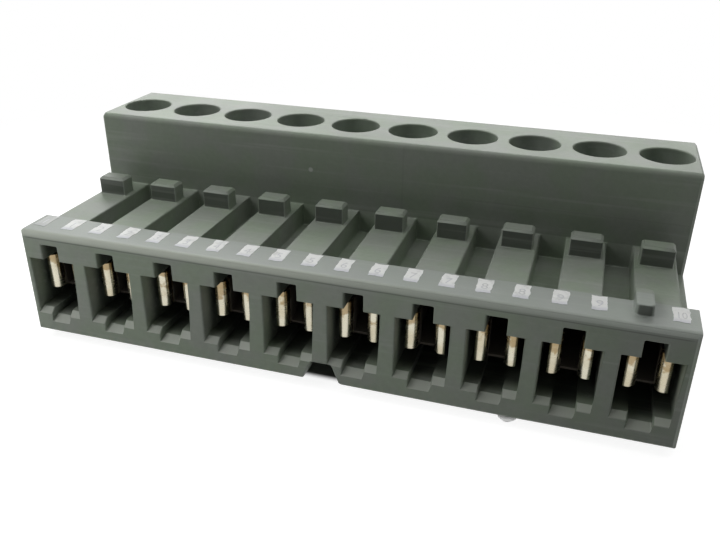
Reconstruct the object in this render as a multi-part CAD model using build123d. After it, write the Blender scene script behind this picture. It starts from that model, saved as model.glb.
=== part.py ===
"""Pluggable terminal block: a ten-pole plug with screw clamps and sprung socket contacts.

The plug is drawn with its front face on Y = 0 and its underside on Z = 0, poles along X. Each
piece is moved at the end so that the origin is the middle of the plug, level with its lowest
point. Lengths are in millimetres.
"""

import os

from build123d import *

# Poles
pole_count = 10
pole_pitch = 5.08

# Housing outline, front to back
bar_end_margin = 2.59        # from the middle of an end pole to the end of the front bar
body_end_margin = 2.45       # the same, for the body behind the bar
bar_depth = 3.58
deck_top = 9.0
slot_floor = 7.1
wall_front = 12.6
housing_depth = 21.13
housing_height = 15.31
bar_nose_depth = 0.6         # the crowned front edge of the bar, back from the front face
bar_nose_drop = 0.38         # and down from the deck; a mould line is left where it meets the face
bar_corner_chamfer = 0.3
wall_top_radius = 0.45
end_edge_chamfer = 0.2
underside_chamfer = 0.2

# Lands on the deck, with a lug on each that keeps a marker strip in its groove
land_width = 3.04
lug_width = 2.39
lug_front = 9.24
lug_length = 1.46
lug_top = 10.58
lug_edge_chamfer = 0.2

# Coding tab on the last land
tab_width = 1.2
tab_front = 1.4
tab_length = 3.1
tab_height = 0.85
tab_fall = 0.3               # how much lower the tab is at its back
tab_nose_radius = 0.45

# Mating cavity, a cross in the front face
window_width = 3.94
window_bottom = 2.11
window_top = 6.68
top_notch_width = 1.47
top_notch_top = 8.01
low_notch_width = 1.66
low_notch_bottom = 0.97
low_notch_rise = 0.5         # the ramp at the mouth of the low notch
low_notch_ramp = 0.6
lip_chamfer = 0.45
cavity_depth = 11.4

# Clamp chamber, screw bore and wire entry
clamp_y = 16.46              # the middle of the clamp, measured from the front face
chamber_floor = 1.0
entry_top = 7.85
entry_flare = 0.4
driver_bore_radius = 2.06    # a little under the screw's head, which is snapped down past it
shoulder_thickness = 0.8

# Keying groove in the underside and ejector marks
groove_top_width = 1.7
groove_mouth_width = 2.96
groove_height = 1.62
groove_length = 12.0
groove_corner_radius = 0.25
ejector_radius = 0.9
ejector_depth = 0.1
ejector_y = 18.0
ejector_mark_count = 3       # spread evenly under the walls between the clamps

# Contact, stamped and folded from strip. Its X sizes are to the middle of the strip
strip_thickness = 0.35
lip_tip_x = 1.4              # the outer end of the rolled lip
lip_tip_y = 1.5
lip_front_y = 1.2            # where the lip and the leaf would meet without the roll
lip_roll_radius = 0.4
lip_bottom = 3.5
leaf_pinch_x = 0.78
leaf_pinch_back = 2.7        # where the leaf starts to widen towards its root
leaf_root_x = 1.25
leaf_root_y = 4.6
leaf_bottom = 3.3
leaf_top = 6.5
leaf_fold_chamfer = 0.25
web_front = 2.3
web_front_slope = 0.25       # how far the web's sheared front edge leans back at its foot
step_front = 9.4
step_run = 0.5               # level strip before the step to the tail
tail_width = 2.3
tail_top = 5.4
tail_fold_gap = 0.06
tail_overrun = 2.7           # how far the tail runs past the middle of the clamp

# Clamp cage, a drawn loop that rises on the screw
cage_width = 3.8
cage_length = 4.6
cage_wall = 0.38
cage_floor = 0.8
cage_roof = 1.7
cage_window_height = 4.1
cage_travel = 2.4
cage_outer_chamfer = 0.4

# Clamp screw
thread_radius = 1.45
head_radius = 2.14
head_height = 1.9
slot_width = 0.65
slot_depth = 0.9

# Coding peg pressed into the underside
peg_radius = 0.7
peg_x = 14.05
peg_y = 1.0
peg_drop = 0.8
peg_depth = 0.6
peg_chamfer = 0.3

# Clearances
cage_side_clearance = 0.06
cage_rest_gap = 0.1
thread_clearance = 0.05
shank_clearance = 0.15
head_clearance = 0.1
seat_clearance = 0.03
tip_clearance = 0.02
head_gap = 0.05

# How far a block runs into the one that it joins, and a cut past the face that it opens
overlap = 0.2
past_face = 1.0

# Worked out from the sizes above
row_half = (pole_count - 1) * pole_pitch / 2
bar_half = row_half + bar_end_margin
body_half = row_half + body_end_margin
pole_xs = [i * pole_pitch - row_half for i in range(pole_count)]
gap_xs = [x + pole_pitch / 2 for x in pole_xs[:-1]]
lug_back = lug_front + lug_length
chamber_half_width = cage_width / 2 + cage_side_clearance
chamber_half_length = cage_length / 2 + cage_side_clearance
chamber_front = clamp_y - chamber_half_length
chamber_back = clamp_y + chamber_half_length
cage_bottom = chamber_floor + cage_rest_gap
cage_height = cage_floor + cage_window_height + cage_roof
chamber_top = cage_bottom + cage_height + cage_travel + cage_rest_gap
shoulder_top = chamber_top + shoulder_thickness
head_bottom = shoulder_top + head_gap
head_top = head_bottom + head_height
bore_foot = head_top + head_gap
tail_bottom = tail_top - 2 * strip_thickness
tail_end = clamp_y + tail_overrun
screw_tip = tail_top + tip_clearance


def block(x, y, z):
    """A box between the low and high values along each axis."""
    size = [high - low for low, high in (x, y, z)]
    middle = [(high + low) / 2 for low, high in (x, y, z)]
    return Pos(*middle) * Box(*size)


def centred(width):
    return (-width / 2, width / 2)


def across(outline, width):
    """An outline drawn in Y and Z, given a width along X about the middle."""
    return extrude(Plane.YZ * outline, width / 2, both=True)


def along(outline, y):
    """An outline drawn in X and Z, run from the first Y to the second."""
    face = Plane(origin=(0, y[1], 0), x_dir=(1, 0, 0), z_dir=(0, -1, 0)) * outline
    return extrude(face, y[1] - y[0])


def disc(radius, z, x=0.0, y=clamp_y):
    """An upright cylinder between two heights."""
    return Pos(x, y, (z[0] + z[1]) / 2) * Cylinder(radius, z[1] - z[0])


def front_bar():
    """The bar along the front, its top front edge crowned on an arc that is level with the deck."""
    nose_foot = (0, deck_top - bar_nose_drop)
    nose_crest = (bar_nose_depth, deck_top)
    profile = [
        Polyline((0, 0), nose_foot),
        TangentArc(nose_crest, nose_foot, tangent=(-1, 0)),
        Polyline(nose_crest, (bar_depth, deck_top), (bar_depth, 0), (0, 0)),
    ]
    bar = across(make_face(profile), 2 * bar_half)
    foot = bar.edges().filter_by(Axis.X).group_by(Axis.Z)[0].sort_by(Axis.Y)
    bar = chamfer(foot[0], underside_chamfer)
    uprights = bar.edges().filter_by(Axis.Z).group_by(Axis.Y)[0]
    return chamfer(uprights, bar_corner_chamfer)


def rear_body():
    """The floor behind the bar and the tall wall that holds the clamps, as one profile."""
    profile = Polyline(
        (bar_depth / 2, 0),
        (bar_depth / 2, slot_floor),
        (wall_front, slot_floor),
        (wall_front, housing_height),
        (housing_depth, housing_height),
        (housing_depth, 0),
        close=True,
    )
    body = across(make_face(profile), 2 * body_half)
    deck_middle = (bar_depth + wall_front) / 2
    top = body.edges().group_by(Axis.Z)[-1]
    body = fillet(top.filter_by(Axis.X), wall_top_radius)
    ends = body.edges().filter_by(Axis.Z).filter_by(lambda e: e.center().Y > deck_middle)
    body = chamfer(ends, end_edge_chamfer)
    foot = body.edges().group_by(Axis.Z)[0].sort_by(Axis.Y)[-1]
    return chamfer(foot, underside_chamfer)


def land():
    """One raised land with its lug, on the pole's middle."""
    length = (bar_depth / 2, wall_front + overlap)
    raised = block(centred(land_width), length, (slot_floor - overlap, deck_top))
    lug = block(centred(lug_width), (lug_front, lug_back), (deck_top - overlap, lug_top))
    lug = chamfer(lug.edges().group_by(Axis.Z)[-1], lug_edge_chamfer)
    return raised + lug


def coding_tab():
    """A wedge on the left edge of the last land, its rounded nose standing over the bar."""
    left = pole_xs[-1] - land_width / 2
    crest = deck_top + tab_height
    back = tab_front + tab_length
    profile = Polyline(
        (tab_front, deck_top - overlap),
        (tab_front, crest),
        (back, crest - tab_fall),
        (back, deck_top - overlap),
        close=True,
    )
    tab = Pos(left + tab_width / 2, 0, 0) * across(make_face(profile), tab_width)
    nose = tab.edges().filter_by(Axis.Z).group_by(Axis.Y)[0]
    tail = tab.edges().filter_by(Axis.Z).group_by(Axis.Y)[-1].sort_by(Axis.X)
    return fillet(list(nose) + [tail[-1]], tab_nose_radius)


def mating_cavity():
    """The cross-shaped cavity that a header pin and the contact share, with its lead-ins."""
    y = (-past_face, cavity_depth)
    cavity = block(centred(window_width), y, (window_bottom, window_top))
    cavity += block(centred(top_notch_width), y, (window_top - overlap, top_notch_top))
    notch_floor = low_notch_bottom + low_notch_rise
    cavity += block(centred(low_notch_width), y, (notch_floor, window_bottom + overlap))
    slope = low_notch_rise / low_notch_ramp
    ramp = Polyline(
        (-past_face, low_notch_bottom - slope * past_face),
        (low_notch_ramp, notch_floor),
        (low_notch_ramp, notch_floor + overlap),
        (-past_face, notch_floor + overlap),
        close=True,
    )
    cavity += across(make_face(ramp), low_notch_width)
    lip = Polyline(
        (-past_face, window_bottom - lip_chamfer - past_face),
        (lip_chamfer, window_bottom),
        (lip_chamfer, window_bottom + overlap),
        (-past_face, window_bottom + overlap),
        close=True,
    )
    return cavity + across(make_face(lip), window_width)


def clamp_space():
    """Chamber, screw bore, wire entry and the slot that the contact's tail is pressed through."""
    y = (chamber_front, chamber_back)
    space = block(centred(2 * chamber_half_width), y, (chamber_floor, chamber_top))
    space += disc(thread_radius + shank_clearance, (chamber_top - overlap, shoulder_top + overlap))
    space += disc(head_radius + head_clearance, (shoulder_top, bore_foot))
    space += disc(driver_bore_radius, (bore_foot, housing_height + past_face))
    entry_width = 2 * chamber_half_width
    entry_middle = (chamber_floor + entry_top) / 2
    entry_height = entry_top - chamber_floor
    space += block(centred(entry_width), (clamp_y, housing_depth + past_face), (chamber_floor, entry_top))
    mouth = Plane(origin=(0, housing_depth, entry_middle), x_dir=(1, 0, 0), z_dir=(0, -1, 0))
    outer = mouth * Rectangle(entry_width + 2 * entry_flare, entry_height + 2 * entry_flare)
    inner = mouth.offset(entry_flare) * Rectangle(entry_width, entry_height)
    space += loft([outer.face(), inner.face()])
    half_tail = tail_width / 2 + seat_clearance
    tail_z = (tail_bottom - seat_clearance, tail_top + seat_clearance)
    return space + block((-half_tail, half_tail), (cavity_depth - overlap, chamber_front + overlap), tail_z)


def keying_groove():
    """A groove with sloping sides along the underside, between the middle poles."""
    outline = Polyline(
        (-groove_mouth_width / 2, 0),
        (-groove_top_width / 2, groove_height),
        (groove_top_width / 2, groove_height),
        (groove_mouth_width / 2, 0),
        close=True,
    )
    groove = along(make_face(outline), (-past_face, groove_length))
    crown = groove.edges().filter_by(Axis.Y).group_by(Axis.Z)[-1]
    return fillet(crown, groove_corner_radius)


def housing():
    body = front_bar() + rear_body() + coding_tab()
    body += [Pos(x, 0, 0) * land() for x in pole_xs]
    cavity = mating_cavity()
    clamp = clamp_space()
    cuts = [Pos(x, 0, 0) * tool for x in pole_xs for tool in (cavity, clamp)]
    cuts.append(keying_groove())
    cuts.append(disc(peg_radius, (-past_face, peg_depth), peg_x, peg_y))
    gaps_per_mark = len(gap_xs) // ejector_mark_count
    marks = gap_xs[gaps_per_mark // 2 :: gaps_per_mark]
    cuts += [disc(ejector_radius, (-past_face, ejector_depth), x, ejector_y) for x in marks]
    return body - cuts


def contact_leaf():
    """One spring leaf from above: a rolled lip, the pinch, and the side of the channel behind it."""
    lip = FilletPolyline(
        (lip_tip_x, lip_tip_y),
        (leaf_pinch_x, lip_front_y),
        (leaf_pinch_x, leaf_pinch_back),
        radius=lip_roll_radius,
    )
    side = Polyline(
        (leaf_pinch_x, leaf_pinch_back),
        (leaf_root_x, leaf_root_y),
        (leaf_root_x, cavity_depth - seat_clearance),
    )
    leaf = extrude(trace([lip, side], strip_thickness), leaf_top)
    shear = Polyline(
        (0, lip_bottom),
        (0, leaf_top),
        (cavity_depth, leaf_top),
        (cavity_depth, leaf_bottom),
        (web_front + web_front_slope, leaf_bottom),
        (web_front, lip_bottom),
        close=True,
    )
    return leaf & across(make_face(shear), 4 * lip_tip_x)


def contact_web():
    """The floor of the channel between the leaves, up to where the strip steps up to the tail."""
    outline = Polyline(
        (-leaf_pinch_x, web_front),
        (-leaf_pinch_x, leaf_pinch_back),
        (-leaf_root_x, leaf_root_y),
        (-leaf_root_x, step_front),
        (leaf_root_x, step_front),
        (leaf_root_x, leaf_root_y),
        (leaf_pinch_x, leaf_pinch_back),
        (leaf_pinch_x, web_front),
        close=True,
    )
    web = Pos(0, 0, leaf_bottom) * extrude(make_face(outline), strip_thickness)
    foot = web.edges().filter_by(Axis.X).group_by(Axis.Y)[0].sort_by(Axis.Z)[0]
    return chamfer(foot, web_front_slope)


def contact():
    """A two-leaf socket: rolled lips, pinch, a folded channel and a doubled tail for the clamp."""
    leaf = contact_leaf()
    channel_half = leaf_root_x + strip_thickness / 2
    sheath = block((-channel_half, channel_half), (leaf_root_y, cavity_depth), (leaf_bottom, leaf_top))
    sheath = chamfer(sheath.edges().filter_by(Axis.Y).group_by(Axis.Z)[0], leaf_fold_chamfer)
    front = block((-window_width / 2, window_width / 2), (0, leaf_root_y), (leaf_bottom, leaf_top))
    channel = (leaf + mirror(leaf, Plane.YZ) + contact_web()) & (sheath + front)
    low_middle = leaf_bottom + strip_thickness / 2
    high_middle = tail_bottom + strip_thickness / 2
    step = Polyline(
        (step_front - overlap, low_middle),
        (step_front + step_run - overlap, low_middle),
        (cavity_depth - step_run, high_middle),
        (cavity_depth + overlap, high_middle),
    )
    riser = across(trace(step, strip_thickness), tail_width)
    tail = block(centred(tail_width), (cavity_depth - overlap, tail_end), (tail_bottom, tail_top))
    tail = chamfer(tail.edges().filter_by(Axis.X).group_by(Axis.Y)[-1], strip_thickness / 2)
    tail_middle = (tail_bottom + tail_top) / 2
    fold = block(
        centred(2 * tail_width),
        (chamber_front, tail_end - strip_thickness),
        (tail_middle - tail_fold_gap / 2, tail_middle + tail_fold_gap / 2),
    )
    return channel + riser + tail - fold


def clamp_cage():
    """The loop round the contact's tail and the wire, open along the wire, with a tapped roof."""
    y = (clamp_y - cage_length / 2, clamp_y + cage_length / 2)
    outer = Rectangle(cage_width, cage_height)
    outer = Pos(0, cage_bottom + cage_height / 2) * chamfer(outer.vertices(), cage_outer_chamfer)
    window_middle = cage_bottom + cage_floor + cage_window_height / 2
    window = Pos(0, window_middle) * Rectangle(cage_width - 2 * cage_wall, cage_window_height)
    cage = along(outer - window, y)
    roof_foot = cage_bottom + cage_height - cage_roof
    return cage - disc(thread_radius + thread_clearance, (roof_foot - overlap, chamber_top))


def clamp_screw():
    """A slotted screw whose tip bears on the contact's tail."""
    profile = Polyline(
        (0, screw_tip),
        (thread_radius, screw_tip),
        (thread_radius, head_bottom),
        (head_radius, head_bottom),
        (head_radius, head_top),
        (0, head_top),
        close=True,
    )
    screw = Pos(0, clamp_y, 0) * revolve(Plane.XZ * make_face(profile), Axis.Z)
    reach = (clamp_y - 2 * head_radius, clamp_y + 2 * head_radius)
    return screw - block(centred(slot_width), reach, (head_top - slot_depth, head_top + past_face))


def coding_peg():
    peg = disc(peg_radius, (-peg_drop, peg_depth), peg_x, peg_y)
    return chamfer(peg.edges().group_by(Axis.Z)[0], peg_chamfer)


def build():
    """Every piece by name, drawn in its working place."""
    pieces = {"housing": housing(), "coding_peg": coding_peg()}
    repeats = {"contact": contact(), "clamp_cage": clamp_cage(), "clamp_screw": clamp_screw()}
    for number, x in enumerate(pole_xs, start=1):
        for name, piece in repeats.items():
            pieces[f"{name}_{number:02d}"] = Pos(x, 0, 0) * piece
    return pieces


os.makedirs("parts", exist_ok=True)
to_origin = Pos(0, -housing_depth / 2, peg_drop)
for name, piece in build().items():
    export_step(to_origin * piece, f"parts/{name}.step")
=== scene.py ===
"""Looks of a ten-pole pluggable terminal block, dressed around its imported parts.

Lengths are in metres in the parts' own frame: X runs along the poles, the mating face looks towards -Y and
Z is up. Every piece has its place in its mesh, so each object stays at the origin.
"""
import math

import bmesh
import bpy
from bpy.props import FloatProperty, FloatVectorProperty, IntProperty, PointerProperty
from mathutils import Matrix, Vector


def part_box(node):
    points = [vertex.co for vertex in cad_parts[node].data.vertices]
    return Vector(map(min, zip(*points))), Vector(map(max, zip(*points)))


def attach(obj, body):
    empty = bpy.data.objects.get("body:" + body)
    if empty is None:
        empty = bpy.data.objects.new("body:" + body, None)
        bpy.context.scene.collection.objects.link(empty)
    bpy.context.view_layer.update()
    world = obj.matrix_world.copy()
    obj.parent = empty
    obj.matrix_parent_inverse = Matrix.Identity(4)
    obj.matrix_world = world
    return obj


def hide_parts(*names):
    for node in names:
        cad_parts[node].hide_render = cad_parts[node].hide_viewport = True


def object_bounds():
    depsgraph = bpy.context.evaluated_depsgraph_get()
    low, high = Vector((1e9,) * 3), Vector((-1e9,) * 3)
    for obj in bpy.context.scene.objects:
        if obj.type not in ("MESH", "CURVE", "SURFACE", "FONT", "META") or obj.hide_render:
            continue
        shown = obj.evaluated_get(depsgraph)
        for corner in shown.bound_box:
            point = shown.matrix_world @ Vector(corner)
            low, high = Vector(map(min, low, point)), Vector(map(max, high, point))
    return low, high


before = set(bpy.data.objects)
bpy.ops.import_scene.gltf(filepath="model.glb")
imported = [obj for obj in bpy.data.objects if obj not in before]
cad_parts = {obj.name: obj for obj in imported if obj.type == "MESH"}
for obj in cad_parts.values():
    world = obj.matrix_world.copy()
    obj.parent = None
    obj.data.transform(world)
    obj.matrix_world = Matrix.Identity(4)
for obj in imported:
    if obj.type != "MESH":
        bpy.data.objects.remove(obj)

bl_info = {
    "name": "Pluggable terminal block",
    "version": (1, 0, 0),
    "blender": (4, 5, 0),
    "location": "3D View > Sidebar > Terminal block",
    "description": "Finishes the parts of a pluggable terminal block and sets a plain studio round them",
    "category": "Object",
}

MM = 0.001
PLUG = "plug_body"
cad_low, cad_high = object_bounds()
pole_labels = sorted(name[-2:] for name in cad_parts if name.startswith("contact_"))

# Places on the housing, worked out from its box and from the pieces in it
housing_low, housing_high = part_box("housing")
front_y = housing_low.y
block_top_z = housing_high.z
underside_z = housing_low.z
deck_z = underside_z + 9.0 * MM
slot_floor_z = underside_z + 7.1 * MM
bar_back_y = front_y + 3.58 * MM
wall_y = front_y + 12.6 * MM
shank_radius = 1.45 * MM

# How meshes are rounded. A fold is the angle between the two faces at an edge. At a corner, two edges part
# clearly under the first cosine, and one runs almost straight on into the other over the second
FLAT_FOLD = math.radians(1)
FAINT_FOLD = math.radians(5)
CRISP_FOLD = math.radians(35)
RIM_FOLD = math.radians(40)
SQUARE_FOLD = math.radians(60)
PARTING_COSINE = 0.87
STRAIGHT_COSINE = 0.8
MERGE_DISTANCE = 0.001 * MM
WEIGHT_STEP = 0.001
SHARE_OF_ROOM = 0.36
ROUNDING_STEPS = 3

# How finely the screws are cut: the sides of half a head's rim, and the shank's sides and levels
HEAD_SIDES = 28
SHANK_SIDES = 36
SHANK_LEVELS = 88

# How the numbers are set: a digit's height as a share of the font's size, the squeeze of one digit and of
# two, how high they stand over the ink, and how far they are in front of a field's middle
DIGIT_SHARE = 0.7
ONE_DIGIT_SQUEEZE = 0.9
TWO_DIGIT_SQUEEZE = 0.62
NUMBER_LIFT = 0.004 * MM
NUMBER_SHIFT = 0.1 * MM

# How far apart two seeds are in the noise that makes the ink ragged
SEED_STEP = 7.3

# Settings that all colours, and all small lengths, have in common
COLOUR = {"size": 3, "min": 0, "max": 1, "subtype": "COLOR"}
LENGTH = {"precision": 6, "unit": "LENGTH"}


# Sizes and colours that a user may change

class HousingLooks(bpy.types.PropertyGroup):
    """Sizes and colours of the moulded housing and its coding peg."""

    colour: FloatVectorProperty(
        name="Plastic", description="Colour of the moulded housing", default=(0.258, 0.308, 0.236), **COLOUR)
    cool_colour: FloatVectorProperty(
        name="Cool drift", description="Colour that the housing drifts towards in patches",
        default=(0.276, 0.304, 0.262), **COLOUR)
    # Painted light: a paler colour for the bar's top, as it lies less in the wall's shade
    bar_painted_light: FloatVectorProperty(
        name="Bar top", description="Colour of the top of the front bar, moulded against a smoother face",
        default=(0.325, 0.352, 0.330), **COLOUR)
    # Painted highlight: the pale colour laid on the bar's crowned front edge
    nose_highlight_colour: FloatVectorProperty(
        name="Bar edge", description="Colour of the bar's rubbed front edge", default=(0.43, 0.465, 0.395),
        **COLOUR)
    # Painted shade: the dark colour laid on the mating faces, deep in the cavities and at the right end of
    # the front face
    painted_shade_colour: FloatVectorProperty(
        name="Deep plastic", description="Colour of the polished faces and of the cavities' depths",
        default=(0.055, 0.064, 0.052), **COLOUR)
    peg_colour: FloatVectorProperty(
        name="Peg", description="Colour of the coding peg", default=(0.86, 0.86, 0.85), **COLOUR)
    edge_radius: FloatProperty(
        name="Edge radius", description="Rounding of the moulding's sharp edges", default=0.13 * MM, min=0,
        **LENGTH)
    grain_scale: FloatProperty(
        name="Grain", description="Grains of mould texture along a metre", default=5200, min=1)
    grain_depth: FloatProperty(
        name="Grain depth", description="Depth of the mould texture", default=0.012 * MM, min=0, **LENGTH)


class PrintLooks(bpy.types.PropertyGroup):
    """The white marker fields printed on the front bar, and the plain numbers on them."""

    count: IntProperty(name="Fields", description="Printed fields along the bar", default=20, min=1)
    skipped: IntProperty(name="Skipped", description="Field that the coding tab stands on", default=18, min=0)
    pitch: FloatProperty(name="Pitch", description="Distance between fields", default=2.572 * MM, **LENGTH)
    shift: FloatProperty(
        name="Shift", description="How far the print is off the middle", default=-0.16 * MM, **LENGTH)
    width: FloatProperty(name="Width", description="Width of a field", default=1.08 * MM, **LENGTH)
    length: FloatProperty(
        name="Length", description="Length of a field, front to back", default=2.0 * MM, **LENGTH)
    setback: FloatProperty(
        name="Setback", description="From the front face to the middle of a field", default=2.38 * MM,
        **LENGTH)
    thickness: FloatProperty(
        name="Ink thickness", description="How far the ink stands over the bar", default=0.02 * MM, **LENGTH)
    raggedness: FloatProperty(
        name="Raggedness", description="How far the edge of the ink wanders", default=0.42 * MM, **LENGTH)
    seed: IntProperty(name="Seed", description="Seed of the ragged edges", default=4, min=0)
    digit_height: FloatProperty(
        name="Number height", description="Height of the printed numbers", default=0.85 * MM, **LENGTH)
    ink: FloatVectorProperty(
        name="Ink", description="Colour of the marker fields", default=(0.90, 0.91, 0.89), **COLOUR)
    number_ink: FloatVectorProperty(
        name="Number ink", description="Colour of the numbers", default=(0.70, 0.71, 0.73), **COLOUR)


class MetalLooks(bpy.types.PropertyGroup):
    """Finishes of the contacts, cages and screws."""

    tin: FloatVectorProperty(
        name="Tin", description="Plating of the contacts", default=(0.62, 0.59, 0.47), **COLOUR)
    # A coppery tint laid towards the lips' tops
    coppery_tint: FloatVectorProperty(
        name="Bare alloy", description="Copper alloy where the tin is thin", default=(0.29, 0.195, 0.08),
        **COLOUR)
    # Painted shade: the nearly black colour laid on the tin behind the lips
    shaded_tin: FloatVectorProperty(
        name="Dull tin", description="Tin behind the lips, where no pin has rubbed it",
        default=(0.035, 0.031, 0.028), **COLOUR)
    nickel: FloatVectorProperty(
        name="Nickel", description="Plating of the clamp cages", default=(0.66, 0.63, 0.57), **COLOUR)
    zinc: FloatVectorProperty(
        name="Zinc", description="Plating of the clamp screws", default=(0.52, 0.54, 0.56), **COLOUR)
    sheet_edge: FloatProperty(
        name="Sheet edge", description="Rounding of the stamped edges", default=0.07 * MM, min=0, **LENGTH)
    cage_edge: FloatProperty(
        name="Cage edge", description="Rounding of the cage's edges", default=0.1 * MM, min=0, **LENGTH)


class ScrewLooks(bpy.types.PropertyGroup):
    """Form of the clamp screws inside the solid that the frame holds for them."""

    thread_pitch: FloatProperty(
        name="Thread pitch", description="Rise of the thread in one turn", default=0.5 * MM, **LENGTH)
    thread_depth: FloatProperty(
        name="Thread depth", description="Height of the thread over its core", default=0.28 * MM, **LENGTH)
    slot_width: FloatProperty(
        name="Slot width", description="Width of the driver slot", default=0.65 * MM, **LENGTH)
    slot_depth: FloatProperty(
        name="Slot depth", description="Depth of the driver slot", default=0.9 * MM, **LENGTH)
    head_height: FloatProperty(
        name="Head height", description="Height of the head", default=1.9 * MM, **LENGTH)
    head_edge: FloatProperty(
        name="Head edge", description="Rounding of the head's rim", default=0.16 * MM, **LENGTH)


class StageLooks(bpy.types.PropertyGroup):
    """The floor, the lights and the camera."""

    floor_size: FloatProperty(
        name="Floor", description="Side of the square floor", default=1.6, min=0.1, unit="LENGTH")
    surround: FloatProperty(
        name="Surround", description="Light that the pale room gives from all sides", default=0.01, min=0)
    back_power: FloatProperty(
        name="Back light", description="Power of the soft light behind, in watts", default=0.14, min=0)
    top_power: FloatProperty(
        name="Top light", description="Power of the soft light overhead, in watts", default=0.085, min=0)
    side_power: FloatProperty(
        name="Side light", description="Power of the small light behind the left end, in watts",
        default=0.055, min=0)
    right_power: FloatProperty(
        name="Right light", description="Power of the small light above the right end, in watts",
        default=0.025, min=0)
    front_power: FloatProperty(
        name="Front light", description="Power of the light over the floor at the front left, in watts",
        default=0.06, min=0)
    lens: FloatProperty(name="Lens", description="Focal length, in millimetres", default=38.375, min=1)
    roll: FloatProperty(
        name="Roll", description="Turn of the camera about its own axis", default=math.radians(0.64),
        subtype="ANGLE")
    camera_place: FloatVectorProperty(
        name="Camera", description="Place of the camera", size=3, default=(0.01702, -0.055915, 0.03464),
        precision=5, subtype="TRANSLATION")
    camera_aim: FloatVectorProperty(
        name="Aim", description="Point that the camera looks at", size=3,
        default=(0.00175, -0.00637, 0.00864), precision=5, subtype="TRANSLATION")


# Node helpers

def add_node(tree, kind, inputs=None, **settings):
    """Adds a node, sets its options, and fills its inputs with values or links."""
    made = tree.nodes.new(kind)
    for name, value in settings.items():
        setattr(made, name, value)
    for name, value in (inputs or {}).items():
        if isinstance(value, bpy.types.NodeSocket):
            tree.links.new(value, made.inputs[name])
        else:
            made.inputs[name].default_value = value
    return made


def maths(tree, operation, *terms, clamp=False):
    """One step of arithmetic on numbers and sockets."""
    made = add_node(tree, "ShaderNodeMath", dict(enumerate(terms)), operation=operation, use_clamp=clamp)
    return made.outputs[0]


def product(tree, *terms):
    """All the terms multiplied with one another."""
    result = terms[0]
    for term in terms[1:]:
        result = maths(tree, "MULTIPLY", result, term)
    return result


def swing(tree, source, reach):
    """A noise from 0 to 1, turned into a swing about 0."""
    return product(tree, maths(tree, "SUBTRACT", source, 0.5), reach)


def vector_maths(tree, operation, *terms):
    """One step of arithmetic on vectors."""
    return add_node(tree, "ShaderNodeVectorMath", dict(enumerate(terms)), operation=operation).outputs[0]


def axes(tree, vector):
    """The three numbers of a vector."""
    return add_node(tree, "ShaderNodeSeparateXYZ", {0: vector}).outputs


def noise(tree, vector, scale, detail, roughness=0.5):
    """A noise from 0 to 1 that follows a vector."""
    made = add_node(
        tree, "ShaderNodeTexNoise",
        {"Vector": vector, "Scale": scale, "Detail": detail, "Roughness": roughness})
    return made.outputs[0]


def ramp(tree, value, start, end, low=0.0, high=1.0):
    """A smooth change from low to high as the value goes from start to end."""
    made = add_node(
        tree, "ShaderNodeMapRange",
        {"Value": value, "From Min": start, "From Max": end, "To Min": low, "To Max": high},
        interpolation_type="SMOOTHSTEP")
    return made.outputs["Result"]


def mixed(tree, factor, first, second):
    """A colour between two colours."""
    made = add_node(tree, "ShaderNodeMix", {0: factor, 6: first, 7: second}, data_type="RGBA")
    return made.outputs[2]


def opaque(colour):
    """The four numbers of a colour that hides what is behind it."""
    return (*colour, 1.0)


def grey(level):
    """An opaque grey, from 0 for black to 1 for white."""
    return opaque((level, level, level))


def tinted(tree, colour, tint, *masks):
    """A colour with a tint laid over it where all the masks are on."""
    return mixed(tree, product(tree, *masks), colour, opaque(tint))


def new_group(name, kind, inputs, outputs):
    """An empty node group with named sockets, and its two end nodes."""
    tree = bpy.data.node_groups.new(name, kind)
    for label, socket_kind, value in inputs:
        socket = tree.interface.new_socket(label, in_out="INPUT", socket_type=socket_kind)
        if value is not None:
            socket.default_value = value
    for label, socket_kind in outputs:
        tree.interface.new_socket(label, in_out="OUTPUT", socket_type=socket_kind)
    start = tree.nodes.new("NodeGroupInput")
    end = tree.nodes.new("NodeGroupOutput")
    return tree, start.outputs, end.inputs


# Effects that several materials share

def grain_group():
    """Fine texture of a mould or a rolled sheet: a height, and a roughness that wanders in patches."""
    tree, start, end = new_group(
        "Surface grain", "ShaderNodeTree",
        [("Vector", "NodeSocketVector", None), ("Grain", "NodeSocketFloat", 5000.0),
         ("Patches", "NodeSocketFloat", 400.0), ("Roughness", "NodeSocketFloat", 0.5),
         ("Wander", "NodeSocketFloat", 0.08)],
        [("Height", "NodeSocketFloat"), ("Roughness", "NodeSocketFloat")])
    fine = noise(tree, start["Vector"], start["Grain"], 3.0, 0.62)
    broad = noise(tree, start["Vector"], start["Patches"], 3.0)
    both = maths(tree, "ADD", maths(tree, "SUBTRACT", broad, 0.5), swing(tree, fine, 0.6))
    tree.links.new(fine, end["Height"])
    tree.links.new(maths(tree, "ADD", product(tree, both, start["Wander"]), start["Roughness"]),
                   end["Roughness"])
    return tree


def drift_group():
    """A colour that drifts to a second colour in patches and carries a fine speckle."""
    tree, start, end = new_group(
        "Colour drift", "ShaderNodeTree",
        [("Vector", "NodeSocketVector", None), ("Colour", "NodeSocketColor", None),
         ("Drift colour", "NodeSocketColor", None), ("Patches", "NodeSocketFloat", 300.0),
         ("Speckle", "NodeSocketFloat", 0.06), ("Speckle scale", "NodeSocketFloat", 2500.0)],
        [("Colour", "NodeSocketColor")])
    patches = noise(tree, start["Vector"], start["Patches"], 2.0)
    base = mixed(tree, ramp(tree, patches, 0.35, 0.65), start["Colour"], start["Drift colour"])
    specks = noise(tree, start["Vector"], start["Speckle scale"], 2.0)
    level = maths(tree, "ADD", swing(tree, specks, start["Speckle"]), 1.0)
    tree.links.new(vector_maths(tree, "MULTIPLY", base, level), end["Colour"])
    return tree


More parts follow.
